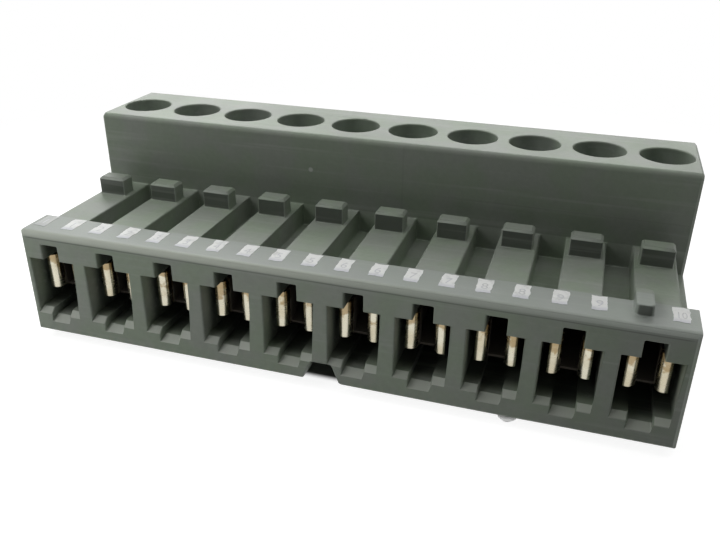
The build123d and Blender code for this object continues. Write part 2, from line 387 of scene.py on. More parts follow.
def line_group():
    """A mask of one fine line, such as a weld line or a scratch, across a coordinate."""
    tree, start, end = new_group(
        "Fine line", "ShaderNodeTree",
        [("Coordinate", "NodeSocketFloat", 0.0), ("Place", "NodeSocketFloat", 0.0),
         ("Half width", "NodeSocketFloat", 0.0001), ("Vector", "NodeSocketVector", None),
         ("Wander", "NodeSocketFloat", 0.0001)],
        [("Mask", "NodeSocketFloat")])
    shift = swing(tree, noise(tree, start["Vector"], 700.0, 2.0), start["Wander"])
    distance = maths(tree, "SUBTRACT", maths(tree, "ADD", start["Coordinate"], shift), start["Place"])
    share = maths(tree, "DIVIDE", maths(tree, "ABSOLUTE", distance), start["Half width"])
    tree.links.new(ramp(tree, share, 1.0, 0.2), end["Mask"])
    return tree


shared_groups = {}


def use_group(tree, build, inputs):
    """A shared group put into a material; the group is built the first time that it is asked for."""
    if build.__name__ not in shared_groups:
        shared_groups[build.__name__] = build()
    return add_node(tree, "ShaderNodeGroup", inputs, node_tree=shared_groups[build.__name__]).outputs


def drifting(tree, vector, colour, drift, patches, speckle, speckle_scale):
    """A colour that drifts to another in patches, and has a fine speckle."""
    return use_group(tree, drift_group, {
        "Vector": vector, "Colour": opaque(colour), "Drift colour": opaque(drift), "Patches": patches,
        "Speckle": speckle, "Speckle scale": speckle_scale})["Colour"]


def fine_line(tree, vector, coordinate, place, half_width, wander):
    """A mask of a fine line where the coordinate has a given value."""
    return use_group(tree, line_group, {
        "Coordinate": coordinate, "Place": place, "Half width": half_width, "Vector": vector,
        "Wander": wander})["Mask"]


def add_grain(tree, shader, vector, scale, patches, roughness, wander, depth=0.0):
    """Gives the shader a roughness that wanders, and a fine relief of a given depth."""
    grain = use_group(tree, grain_group, {
        "Vector": vector, "Grain": scale, "Patches": patches, "Roughness": roughness, "Wander": wander})
    tree.links.new(grain["Roughness"], shader.inputs["Roughness"])
    if depth > 0:
        relief = add_node(
            tree, "ShaderNodeBump", {"Height": grain["Height"], "Distance": depth, "Strength": 1.0})
        tree.links.new(relief.outputs[0], shader.inputs["Normal"])
    return grain["Roughness"]


def start_material(name, **constants):
    """A material with its main shader; constants are set on the shader's own sockets."""
    material = bpy.data.materials.new(name)
    material.use_nodes = True
    tree = material.node_tree
    shader = tree.nodes["Principled BSDF"]
    for label, value in constants.items():
        shader.inputs[label.replace("_", " ")].default_value = value
    place = add_node(tree, "ShaderNodeTexCoord").outputs["Object"]
    return material, tree, shader, place


# Materials

def housing_plastic(looks):
    """Olive-grey moulded plastic with a weld line, a mould line and small scuffs, and painted light and
    shade: paler on the front bar, its front edge and the cavities' ramps, darker on the mating faces, in the
    cavities and towards the front face's right end.
    """
    material, tree, shader, place = start_material("housing_plastic", IOR=1.5, Specular_IOR_Level=0.32)
    colour = drifting(
        tree, place, looks.colour, looks.cool_colour, patches=330.0, speckle=0.16, speckle_scale=2600.0)
    roughness = add_grain(
        tree, shader, place, looks.grain_scale, patches=260.0, roughness=0.50, wander=0.16,
        depth=looks.grain_depth)
    x, y, z = axes(tree, place)
    from_middle = maths(tree, "ABSOLUTE", x)
    facing = axes(tree, add_node(tree, "ShaderNodeNewGeometry").outputs["Normal"])

    # The bar's top is a little smoother than the lands. Its paler tint is painted light, standing in for the
    # bar lying further from the wall's shade
    on_bar = product(tree, ramp(tree, y, bar_back_y + 0.05 * MM, bar_back_y - 0.05 * MM),
                     ramp(tree, z, deck_z - 0.7 * MM, deck_z - 0.2 * MM))
    colour = tinted(tree, colour, looks.bar_painted_light, on_bar, 0.7)
    roughness = maths(tree, "SUBTRACT", roughness, product(tree, on_bar, 0.05))
    tree.links.new(roughness, shader.inputs["Roughness"])

    # Painted highlight: the bar's crowned front edge is tinted pale, most at the left end, down to the crease
    # under it
    on_nose = product(tree, ramp(tree, y, front_y + 0.7 * MM, front_y + 0.35 * MM),
                      ramp(tree, z, deck_z - 0.42 * MM, deck_z - 0.36 * MM))
    highlight_strength = ramp(tree, x, -8.0 * MM, 22.0 * MM, 0.85, 0.15)
    colour = tinted(tree, colour, looks.nose_highlight_colour, on_nose, highlight_strength)
    # Painted shade: a fine dark line along the front face at the crease under the crowned edge, fading near
    # the block's ends
    on_front = product(tree, ramp(tree, y, front_y + 0.12 * MM, front_y + 0.04 * MM),
                       ramp(tree, from_middle, cad_high.x - 0.2 * MM, cad_high.x - 0.9 * MM))
    crease_shade_line = fine_line(tree, place, z, deck_z - 0.47 * MM, half_width=0.075 * MM, wander=0.05 * MM)
    colour = tinted(tree, colour, (0.13, 0.15, 0.12), crease_shade_line, on_front, 0.75)

    # Painted shade: the mating side of the wall, the lugs and the tab is tinted darker, most at the lugs'
    # fronts
    to_mating_side = product(tree, ramp(tree, facing[1], -0.6, -0.9),
                             ramp(tree, z, deck_z + 0.02 * MM, deck_z + 0.15 * MM))
    mating_shade = ramp(tree, y, wall_y - 1.0 * MM, wall_y - 0.5 * MM, 0.86, 0.28)
    colour = tinted(tree, colour, looks.painted_shade_colour, to_mating_side, mating_shade)

    # Painted light: the small ramps at the cavities' mouths are tinted pale, as lit from above
    on_ramp = product(
        tree, ramp(tree, facing[2], 0.5, 0.6), ramp(tree, facing[2], 0.85, 0.8),
        ramp(tree, y, front_y + 0.75 * MM, front_y + 0.7 * MM),
        ramp(tree, z, underside_z + 3.0 * MM, underside_z + 2.5 * MM))
    colour = tinted(tree, colour, (0.52, 0.55, 0.49), on_ramp, 0.6)

    # Painted shade: deep in the cavities, the windows and the notch the plastic is tinted dark
    inside = product(
        tree, ramp(tree, from_middle, cad_high.x - 0.4 * MM, cad_high.x - 0.5 * MM),
        ramp(tree, z, underside_z + 0.6 * MM, underside_z + 0.7 * MM),
        ramp(tree, z, slot_floor_z + 0.95 * MM, slot_floor_z + 0.9 * MM),
        ramp(tree, y, front_y + 11.3 * MM, front_y + 11.2 * MM))
    in_notch = product(tree, ramp(tree, z, underside_z + 6.69 * MM, underside_z + 6.75 * MM),
                       ramp(tree, y, front_y + 0.1 * MM, front_y + 0.8 * MM, 0.0, 0.9))
    in_window = ramp(tree, y, front_y + 0.45 * MM, front_y + 2.0 * MM, 0.0, 0.9)
    in_open_slot = product(tree, ramp(tree, z, slot_floor_z - 0.02 * MM, slot_floor_z - 0.01 * MM),
                           ramp(tree, y, bar_back_y - 0.1 * MM, bar_back_y))
    colour = tinted(tree, colour, looks.painted_shade_colour, maths(tree, "MAXIMUM", in_notch, in_window), inside,
                    maths(tree, "SUBTRACT", 1.0, in_open_slot))

    # Painted shade: the front face is tinted darker towards its right end
    colour = tinted(tree, colour, looks.painted_shade_colour, ramp(tree, x, 8.0 * MM, 26.0 * MM, 0.0, 0.42),
                    ramp(tree, y, front_y + 0.06 * MM, front_y + 0.03 * MM))

    # Flow streaks along the bar
    stretched = add_node(tree, "ShaderNodeMapping", {0: place, 3: (60.0, 1900.0, 1900.0)}).outputs[0]
    streaks = ramp(tree, noise(tree, stretched, 1.0, 3.0), 0.52, 0.72)
    colour = tinted(tree, colour, (0.42, 0.44, 0.41), streaks, 0.16)

    # The tall wall's weld line, mould line and a pale speck
    off_wall = maths(tree, "ABSOLUTE", maths(tree, "SUBTRACT", y, wall_y))
    on_wall = product(tree, ramp(tree, off_wall, 0.06 * MM, 0.03 * MM),
                      ramp(tree, z, deck_z + 0.4 * MM, deck_z + 1.0 * MM))
    weld = fine_line(tree, place, x, 2.74 * MM, half_width=0.09 * MM, wander=0.12 * MM)
    mould = fine_line(tree, place, z, underside_z + 11.2 * MM, half_width=0.08 * MM, wander=0.06 * MM)
    mould = product(tree, mould, ramp(tree, x, 3.0 * MM, 12.0 * MM))
    colour = tinted(tree, colour, (0.17, 0.18, 0.16), maths(tree, "MAXIMUM", weld, mould), on_wall, 0.35)
    speck = (-5.31 * MM, wall_y, underside_z + 12.24 * MM)
    away = add_node(tree, "ShaderNodeVectorMath", {0: place, 1: speck}, operation="DISTANCE")
    colour = tinted(tree, colour, (0.55, 0.56, 0.54),
                    ramp(tree, away.outputs["Value"], 0.26 * MM, 0.12 * MM), 0.6)

    # Scuffs: short pale rubs, mostly on faces that look up
    scuffs = ramp(tree, noise(tree, place, 150.0, 6.0, 0.7), 0.60, 0.74)
    colour = tinted(tree, colour, (0.50, 0.51, 0.49), scuffs, ramp(tree, facing[2], 0.4, 0.9), 0.18)
    tree.links.new(colour, shader.inputs["Base Color"])
    return material


def peg_plastic(looks):
    """Pale translucent plastic of the coding peg."""
    material, tree, shader, place = start_material("peg_plastic", IOR=1.5, Transmission_Weight=0.5)
    colour = drifting(
        tree, place, looks.peg_colour, (0.90, 0.90, 0.88), patches=900.0, speckle=0.08, speckle_scale=4000.0)
    tree.links.new(colour, shader.inputs["Base Color"])
    add_grain(tree, shader, place, 6000.0, patches=700.0, roughness=0.42, wander=0.12, depth=0.01 * MM)
    return material


def marker_ink(looks):
    """Thin white ink: uneven, bluish at the front, worn greyer in places and at the left end of the bar."""
    material, tree, shader, place = start_material("marker_ink", IOR=1.45)
    x, y, _ = axes(tree, place)
    worn = ramp(tree, noise(tree, place, 1500.0, 4.0, 0.6), 0.50, 0.70)
    colour = tinted(tree, opaque(looks.ink), (0.50, 0.52, 0.50), worn, 0.42)
    thin = ramp(tree, y, front_y + 2.1 * MM, front_y + 1.4 * MM)
    colour = tinted(tree, colour, (0.56, 0.57, 0.64), thin, 0.6)
    faded = ramp(tree, x, cad_low.x + 3.4 * MM, cad_low.x + 0.6 * MM)
    colour = tinted(tree, colour, (0.42, 0.44, 0.42), faded, 0.75)
    tree.links.new(colour, shader.inputs["Base Color"])
    add_grain(tree, shader, place, 7000.0, patches=900.0, roughness=0.62, wander=0.15, depth=0.008 * MM)
    return material


def number_ink(looks):
    """Grey ink of the numbers."""
    material, tree, shader, place = start_material("number_ink", IOR=1.45)
    colour = drifting(
        tree, place, looks.number_ink, (0.66, 0.67, 0.66), patches=2200.0, speckle=0.2, speckle_scale=6000.0)
    tree.links.new(colour, shader.inputs["Base Color"])
    add_grain(tree, shader, place, 7000.0, patches=900.0, roughness=0.6, wander=0.12)
    return material


def plated_metal(name, colour, drift, roughness, grain_depth, streak):
    """A plated metal with fine rolling or turning marks, which streak stretches along the axes."""
    material, tree, shader, place = start_material(name, Metallic=1.0)
    tone = drifting(tree, place, colour, drift, patches=600.0, speckle=0.08, speckle_scale=3500.0)
    tree.links.new(tone, shader.inputs["Base Color"])
    stretched = add_node(tree, "ShaderNodeMapping", {0: place, 3: streak}).outputs[0]
    rough = add_grain(tree, shader, stretched, 4.0, patches=0.7, roughness=roughness, wander=0.22,
                      depth=grain_depth)
    return material, tree, shader, place, tone, rough


def contact_tin(looks):
    """Bright tin on the contacts, with a coppery tint towards the lips' tops, and painted shade behind the
    lips.
    """
    material, tree, shader, place, tone, rough = plated_metal(
        "contact_tin", looks.tin, (0.54, 0.49, 0.36), roughness=0.26, grain_depth=0.004 * MM,
        streak=(300.0, 300.0, 1400.0))
    _, y, z = axes(tree, place)
    # A ragged coppery tint towards the lips' tops, in front of the dark part behind them
    lip_top = underside_z + 6.5 * MM
    ragged_z = maths(tree, "ADD", z, swing(tree, noise(tree, place, 1100.0, 4.0), 4.5 * MM))
    towards_lip_tops = product(tree, ramp(tree, ragged_z, lip_top - 1.25 * MM, lip_top - 0.65 * MM),
                   ramp(tree, y, front_y + 3.4 * MM, front_y + 2.4 * MM))
    tone = tinted(tree, tone, looks.coppery_tint, towards_lip_tops, 0.75)
    # Painted shade: behind the lips the tin is tinted nearly black, and it is rougher there
    behind_lips = product(tree, ramp(tree, y, front_y + 1.9 * MM, front_y + 2.3 * MM),
                          ramp(tree, y, front_y + 11.4 * MM, front_y + 10.4 * MM))
    tone = tinted(tree, tone, looks.shaded_tin, behind_lips, 0.95)
    rough = maths(tree, "ADD", rough, product(tree, behind_lips, 0.6), clamp=True)
    tree.links.new(rough, shader.inputs["Roughness"])
    tree.links.new(tone, shader.inputs["Base Color"])
    return material


def cage_nickel(looks):
    """Satin nickel of the clamp cages."""
    return plated_metal(
        "cage_nickel", looks.nickel, (0.56, 0.53, 0.47), roughness=0.34, grain_depth=0.006 * MM,
        streak=(400.0, 1600.0, 400.0))[0]


def screw_zinc(looks):
    """Bluish zinc of the clamp screws."""
    return plated_metal(
        "screw_zinc", looks.zinc, (0.43, 0.46, 0.50), roughness=0.4, grain_depth=0.005 * MM,
        streak=(700.0, 700.0, 2200.0))[0]


# Mesh helpers

def placed(name, data):
    """A new object in the scene."""
    made = bpy.data.objects.new(name, data)
    bpy.context.scene.collection.objects.link(made)
    return made


def new_piece(name, mesh, material):
    """An object for a finished mesh in one material."""
    mesh.materials.clear()
    mesh.materials.append(material)
    return placed(name, mesh)


def finished_mesh(piece):
    """The piece's mesh with its modifiers worked in; the modifiers are then removed."""
    bpy.context.view_layer.update()
    whole = piece.evaluated_get(bpy.context.evaluated_depsgraph_get())
    mesh = bpy.data.meshes.new_from_object(whole)
    piece.modifiers.clear()
    piece.data = mesh
    return mesh


def direction(edge, corner):
    """Where the edge goes from a corner, at its full length."""
    return edge.other_vert(corner).co - corner.co


def room_beside(edge):
    """The shortest edge that leaves either end of this one at a clear angle."""
    room = 1.0
    for corner in edge.verts:
        along = direction(edge, corner).normalized()
        for other in corner.link_edges:
            way = direction(other, corner)
            if other is not edge and abs(way.normalized().dot(along)) < PARTING_COSINE:
                room = min(room, way.length)
    return room


def least_straight_on(edge, weights):
    """The least rounding among the edges that this one runs almost straight on into."""
    least = 1.0
    for corner in edge.verts:
        along = direction(edge, corner).normalized()
        for other in corner.link_edges:
            if other is edge or (other.is_manifold and other.calc_face_angle() < FAINT_FOLD):
                continue
            if abs(direction(other, corner).normalized().dot(along)) > STRAIGHT_COSINE:
                least = min(least, other[weights])
    return least


def level_weights(shell, weights):
    """Gives a chain of nearly straight edges the rounding of its least rounded one, so that none spikes."""
    changed = True
    while changed:
        changed = False
        for edge in shell.edges:
            least = least_straight_on(edge, weights)
            if least < edge[weights] - WEIGHT_STEP:
                edge[weights] = least
                changed = True


def soft_copy(node, name, material, radius, outside=None):
    """A copy of a frame node with whole flat faces and rounded edges.

    Each square edge is rounded by the radius, or by less where there is little room beside it. outside is
    a test of an edge's middle that says whether it is rounded at all. Chamfers and inner edges stay crisp.
    """
    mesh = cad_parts[node].data.copy()
    mesh.name = name
    if mesh.has_custom_normals:
        mesh.attributes.remove(mesh.attributes["custom_normal"])
    shell = bmesh.new()
    shell.from_mesh(mesh)
    bmesh.ops.remove_doubles(shell, verts=shell.verts, dist=MERGE_DISTANCE)
    bmesh.ops.dissolve_limit(shell, angle_limit=FLAT_FOLD, verts=shell.verts, edges=shell.edges)
    weights = shell.edges.layers.float.new("bevel_weight_edge")
    for edge in shell.edges:
        angle = edge.calc_face_angle() if edge.is_manifold else 0.0
        middle = (edge.verts[0].co + edge.verts[1].co) / 2
        if angle > SQUARE_FOLD and (outside is None or outside(middle)):
            edge[weights] = min(1.0, SHARE_OF_ROOM * room_beside(edge) / radius)
    level_weights(shell, weights)
    for face in shell.faces:
        face.smooth = True
    shell.to_mesh(mesh)
    shell.free()
    piece = placed(name, mesh)
    round_edges(piece, radius)
    piece.data.materials.clear()
    piece.data.materials.append(material)
    return piece


def round_edges(piece, radius):
    """Rounds the piece's weighted edges, and then shades its large faces flat up to them."""
    rounding = piece.modifiers.new("Rounding", "BEVEL")
    rounding.limit_method = "WEIGHT"
    rounding.width = radius
    rounding.segments = ROUNDING_STEPS
    rounding.use_clamp_overlap = False
    rounding.miter_outer = "MITER_SHARP"
    mesh = finished_mesh(piece)
    shell = bmesh.new()
    shell.from_mesh(mesh)
    for edge in shell.edges:
        edge.smooth = edge.is_manifold and edge.calc_face_angle() < CRISP_FOLD
    shell.to_mesh(mesh)
    shell.free()
    weighted = piece.modifiers.new("Flat faces", "WEIGHTED_NORMAL")
    weighted.weight = 100
    weighted.keep_sharp = True
    finished_mesh(piece)


def contact_lips(point):
    """Whether a point lies on a contact's rolled lips."""
    return point.y < front_y + 2.1 * MM


def housing_outside(point):
    """Whether a point lies on the outer form of the housing, and not in its cavities."""
    if point.y < front_y + 0.7 * MM or point.y > housing_high.y - 0.5 * MM:
        return True
    if point.z > block_top_z - 0.6 * MM or point.z < underside_z + 0.4 * MM:
        return True
    if point.z > slot_floor_z - 0.1 * MM and point.y < wall_y + 0.1 * MM:
        return True
    return abs(point.x) > housing_high.x - 0.5 * MM


def node_modifier_mesh(piece, tree, values):
    """The plain mesh that a geometry tree makes on a piece, with its inputs set by socket identifier."""
    modifier = piece.modifiers.new(tree.name, "NODES")
    modifier.node_group = tree
    for item in tree.interface.items_tree:
        if item.item_type == "SOCKET" and item.in_out == "INPUT" and item.name in values:
            modifier[item.identifier] = values[item.name]
    return finished_mesh(piece)


# Geometry trees

def marker_tree():
    """A row of thin ink fields with ragged edges, one left out."""
    tree, start, end = new_group(
        "Marker fields", "GeometryNodeTree",
        [("Geometry", "NodeSocketGeometry", None), ("Count", "NodeSocketInt", 20),
         ("Skipped", "NodeSocketInt", 18), ("Pitch", "NodeSocketFloat", 0.0025),
         ("Middle", "NodeSocketVector", None), ("Size", "NodeSocketVector", None),
         ("Raggedness", "NodeSocketFloat", 0.0001), ("Seed", "NodeSocketInt", 0),
         ("Material", "NodeSocketMaterial", None)],
        [("Geometry", "NodeSocketGeometry")])
    span = product(tree, start["Pitch"], maths(tree, "SUBTRACT", start["Count"], 1.0))
    half = add_node(tree, "ShaderNodeCombineXYZ", {0: product(tree, span, 0.5)}).outputs[0]
    first = vector_maths(tree, "SUBTRACT", start["Middle"], half)
    step = add_node(tree, "ShaderNodeCombineXYZ", {0: start["Pitch"]}).outputs[0]
    row = add_node(
        tree, "GeometryNodeMeshLine", {"Count": start["Count"], "Start Location": first, "Offset": step})
    number = tree.nodes.new("GeometryNodeInputIndex").outputs[0]
    is_skipped = add_node(
        tree, "FunctionNodeCompare", {2: number, 3: start["Skipped"]}, data_type="INT", operation="EQUAL")
    kept = add_node(
        tree, "GeometryNodeDeleteGeometry", {0: row.outputs[0], 1: is_skipped.outputs[0]}, domain="POINT")
    field = add_node(
        tree, "GeometryNodeMeshCube",
        {"Size": start["Size"], "Vertices X": 15, "Vertices Y": 27, "Vertices Z": 2})
    fields = add_node(tree, "GeometryNodeInstanceOnPoints", {0: kept.outputs[0], 2: field.outputs[0]})
    real = add_node(tree, "GeometryNodeRealizeInstances", {0: fields.outputs[0]})
    wander = add_node(
        tree, "ShaderNodeTexNoise",
        {"Vector": tree.nodes.new("GeometryNodeInputPosition").outputs[0],
         "W": product(tree, start["Seed"], SEED_STEP), "Scale": 1500.0, "Detail": 3.0},
        noise_dimensions="4D")
    centred = vector_maths(tree, "SUBTRACT", wander.outputs[1], (0.5, 0.5, 0.5))
    level = vector_maths(tree, "MULTIPLY", centred, (1.0, 1.0, 0.0))
    moved = add_node(tree, "ShaderNodeVectorMath", {0: level, 3: start["Raggedness"]}, operation="SCALE")
    ragged = add_node(tree, "GeometryNodeSetPosition", {0: real.outputs[0], 3: moved.outputs[0]})
    inked = add_node(tree, "GeometryNodeSetMaterial", {0: ragged.outputs[0], 2: start["Material"]})
    whole = add_node(tree, "GeometryNodeRealizeInstances", {0: inked.outputs[0]})
    tree.links.new(whole.outputs[0], end["Geometry"])
    return tree


def thread_tree():
    """A threaded shank under the screw head that comes in: a cylinder pushed in along a helix."""
    tree, start, end = new_group(
        "Threaded shank", "GeometryNodeTree",
        [("Geometry", "NodeSocketGeometry", None), ("Outer radius", "NodeSocketFloat", 0.00145),
         ("Depth", "NodeSocketFloat", 0.0003), ("Pitch", "NodeSocketFloat", 0.0005),
         ("Foot", "NodeSocketFloat", 0.0), ("Length", "NodeSocketFloat", 0.005),
         ("Axis", "NodeSocketVector", None), ("Material", "NodeSocketMaterial", None)],
        [("Geometry", "NodeSocketGeometry")])
    shank = add_node(
        tree, "GeometryNodeMeshCylinder",
        {"Vertices": SHANK_SIDES, "Side Segments": SHANK_LEVELS, "Radius": start["Outer radius"],
         "Depth": start["Length"]},
        fill_type="NGON").outputs["Mesh"]
    place = tree.nodes.new("GeometryNodeInputPosition").outputs[0]
    x, y, z = axes(tree, place)

    # The depth of the valley between two turns, from how far a point is off the crest of its turn
    turn = maths(tree, "DIVIDE", maths(tree, "ARCTAN2", y, x), 2 * math.pi)
    rise = maths(tree, "DIVIDE", z, start["Pitch"])
    phase = maths(tree, "FRACT", maths(tree, "SUBTRACT", rise, turn))
    from_crest = product(tree, maths(tree, "ABSOLUTE", maths(tree, "SUBTRACT", phase, 0.5)), 2.0)
    valley = ramp(tree, from_crest, 0.12, 0.88)

    # The thread grows out of its core over the first turn above the foot
    half_length = product(tree, start["Length"], 0.5)
    from_foot = maths(tree, "DIVIDE", maths(tree, "ADD", z, half_length), start["Pitch"])
    entry = ramp(tree, from_foot, 0.0, 1.0, 1.0, 0.0)
    cut = product(tree, maths(tree, "MAXIMUM", valley, entry), start["Depth"])
    share = maths(tree, "SUBTRACT", 1.0, maths(tree, "DIVIDE", cut, start["Outer radius"]))
    slim = add_node(tree, "ShaderNodeCombineXYZ", {0: share, 1: share, 2: 1.0}).outputs[0]
    wall = vector_maths(tree, "MULTIPLY", place, slim)
    lift = add_node(tree, "ShaderNodeCombineXYZ", {2: maths(tree, "ADD", start["Foot"], half_length)})
    stand = vector_maths(tree, "ADD", start["Axis"], lift.outputs[0])
    threaded = add_node(
        tree, "GeometryNodeSetPosition", {0: shank, 2: vector_maths(tree, "ADD", wall, stand)})
    joined = tree.nodes.new("GeometryNodeJoinGeometry")
    tree.links.new(threaded.outputs[0], joined.inputs[0])
    tree.links.new(start["Geometry"], joined.inputs[0])
    real = add_node(tree, "GeometryNodeRealizeInstances", {0: joined.outputs[0]})
    plated = add_node(tree, "GeometryNodeSetMaterial", {0: real.outputs[0], 2: start["Material"]})
    tree.links.new(plated.outputs[0], end["Geometry"])
    return tree


# Operators, one for each kind of piece

class MouldHousing(bpy.types.Operator):
    """Round the housing's edges and give it its moulded plastic"""

    bl_idname = "terminal_block.mould_housing"
    bl_label = "Mould housing"

    def execute(self, context):
        looks = context.scene.block_housing
        piece = soft_copy(
            "housing", "housing_moulding", housing_plastic(looks), looks.edge_radius, housing_outside)
        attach(piece, PLUG)
        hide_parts("housing")
        return {"FINISHED"}


class PressPeg(bpy.types.Operator):
    """Round the coding peg and give it its pale plastic"""

    bl_idname = "terminal_block.press_peg"
    bl_label = "Press in coding peg"

    def execute(self, context):
        finish = peg_plastic(context.scene.block_housing)
        piece = soft_copy("coding_peg", "coding_peg_moulding", finish, radius=0.1 * MM)
        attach(piece, PLUG)
        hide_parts("coding_peg")
        return {"FINISHED"}


class FoldContacts(bpy.types.Operator):
    """Round the contacts' stamped edges and plate them with tin"""

    bl_idname = "terminal_block.fold_contacts"
    bl_label = "Fold contacts"

    def execute(self, context):
        looks = context.scene.block_metal
        finish = contact_tin(looks)
        for label in pole_labels:
            piece = soft_copy(
                "contact_" + label, "contact_strip_" + label, finish, looks.sheet_edge, contact_lips)
            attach(piece, PLUG)
            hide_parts("contact_" + label)
        return {"FINISHED"}


class DrawCages(bpy.types.Operator):
    """Round the clamp cages' edges and plate them with nickel"""

    bl_idname = "terminal_block.draw_cages"
    bl_label = "Draw clamp cages"

    def execute(self, context):
        looks = context.scene.block_metal
        finish = cage_nickel(looks)
        for label in pole_labels:
            piece = soft_copy("clamp_cage_" + label, "clamp_loop_" + label, finish, looks.cage_edge)
            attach(piece, "cage_" + label)
            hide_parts("clamp_cage_" + label)
        return {"FINISHED"}


class TurnScrews(bpy.types.Operator):
    """Cut each clamp screw's thread and slotted head and plate it with zinc"""

    bl_idname = "terminal_block.turn_screws"
    bl_label = "Turn clamp screws"

    def execute(self, context):
        looks = context.scene.block_screw
        finish = screw_zinc(context.scene.block_metal)
        tree = thread_tree()
        for label in pole_labels:
            node = "clamp_screw_" + label
            low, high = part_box(node)
            piece = slotted_head(looks, low, high, "clamp_screw_turned_" + label)
            neck = high.z - looks.head_height + looks.head_edge
            axis = ((low.x + high.x) / 2, (low.y + high.y) / 2, 0.0)
            node_modifier_mesh(piece, tree, {
                "Outer radius": shank_radius, "Depth": looks.thread_depth, "Pitch": looks.thread_pitch,
                "Foot": low.z, "Length": neck - low.z, "Axis": axis, "Material": finish})
            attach(piece, "screw_" + label)
            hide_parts(node)
        return {"FINISHED"}


def slotted_head(looks, low, high, name):
    """The screw's head with its rim rounded and its slot cut, as a piece with its place in its mesh."""
    radius = (high.x - low.x) / 2
    half_slot = looks.slot_width / 2
    top, foot, floor = high.z, high.z - looks.head_height, high.z - looks.slot_depth
    reach = math.acos(half_slot / radius)
    angles = [reach * (2 * i / HEAD_SIDES - 1) for i in range(HEAD_SIDES + 1)]
    shell = bmesh.new()
    halves = []
    for side in (-1, 1):
        arc = [(side * radius * math.cos(angle), radius * math.sin(angle)) for angle in angles]
        halves.append([[shell.verts.new((x, y, z)) for x, y in arc] for z in (foot, floor, top)])

    # Each half has a round wall in two levels, a top, and a wall of the slot
    for at_foot, at_floor, at_top in halves:
        for lower, upper in ((at_foot, at_floor), (at_floor, at_top)):
            for i in range(HEAD_SIDES):
                shell.faces.new((lower[i], lower[i + 1], upper[i + 1], upper[i]))
        shell.faces.new(at_top)
        shell.faces.new((at_floor[0], at_floor[-1], at_top[-1], at_top[0]))

    # The slot's floor, the wall under its two ends, and the head's underside join the halves
    (left_foot, left_floor, _), (right_foot, right_floor, _) = halves
    shell.faces.new((left_floor[0], right_floor[0], right_floor[-1], left_floor[-1]))
    for end in (0, -1):
        shell.faces.new((left_foot[end], right_foot[end], right_floor[end], left_floor[end]))
    shell.faces.new(left_foot[::-1] + right_foot)
    bmesh.ops.recalc_face_normals(shell, faces=shell.faces)

    # The rim is rounded, the slot's upper edges less, and the head's lower edge a little
    weights = shell.edges.layers.float.new("bevel_weight_edge")
    for edge in shell.edges:
        if edge.is_manifold and edge.calc_face_angle() > RIM_FOLD:
            heights = [corner.co.z for corner in edge.verts]
            outermost = max(abs(corner.co.x) for corner in edge.verts)
            if min(heights) > floor + 0.01 * MM:
                edge[weights] = 1.0 if outermost > half_slot * 1.05 else 0.4
            elif max(heights) < foot + 0.01 * MM:
                edge[weights] = 0.5
            else:
                edge.smooth = False
    for face in shell.faces:
        face.smooth = True
    bmesh.ops.translate(
        shell, verts=shell.verts, vec=Vector(((low.x + high.x) / 2, (low.y + high.y) / 2, 0)))
    mesh = bpy.data.meshes.new(name)
    shell.to_mesh(mesh)
    shell.free()
    piece = placed(name, mesh)
    round_edges(piece, looks.head_edge)
    return piece


class PrintMarkers(bpy.types.Operator):
    """Print the marker fields on the front bar and the plain numbers on them"""

    bl_idname = "terminal_block.print_markers"
    bl_label = "Print markers"

    def execute(self, context):
        looks = context.scene.block_print
        middle = Vector((looks.shift, front_y + looks.setback, deck_z + looks.thickness / 2))
        piece = placed("marker_fields", bpy.data.meshes.new("marker_fields"))
        node_modifier_mesh(piece, marker_tree(), {
            "Count": looks.count, "Skipped": looks.skipped, "Pitch": looks.pitch, "Middle": middle,
            "Size": (looks.width, looks.length, looks.thickness), "Raggedness": looks.raggedness,
            "Seed": looks.seed, "Material": marker_ink(looks)})
        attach(piece, PLUG)
        piece = new_piece("marker_numbers", number_mesh(looks, middle), number_ink(looks))
        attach(piece, PLUG)
        return {"FINISHED"}


def number_mesh(looks, middle):
    """One flat mesh of the poles' numbers, one number on each field."""
    whole = bmesh.new()
    for field in range(looks.count):
        if field == looks.skipped:
            continue
        text = bpy.data.curves.new("number", "FONT")
        text.body = str(field // 2 + 1)
        text.size = looks.digit_height / DIGIT_SHARE
        text.align_x, text.align_y = "CENTER", "CENTER"
        writer = placed("number", text)
        bpy.context.view_layer.update()
        depsgraph = bpy.context.evaluated_depsgraph_get()
        flat = bpy.data.meshes.new_from_object(writer.evaluated_get(depsgraph))
        x = middle.x + (field - (looks.count - 1) / 2) * looks.pitch
        top = deck_z + looks.thickness + NUMBER_LIFT
        squeeze = TWO_DIGIT_SQUEEZE if len(text.body) > 1 else ONE_DIGIT_SQUEEZE
        flat.transform(
            Matrix.Translation((x, middle.y - NUMBER_SHIFT, top)) @ Matrix.Diagonal((squeeze, 1, 1, 1)))
        whole.from_mesh(flat)
        bpy.data.objects.remove(writer)
        bpy.data.meshes.remove(flat)
    mesh = bpy.data.meshes.new("marker_numbers")
    whole.to_mesh(mesh)
    whole.free()
    return mesh


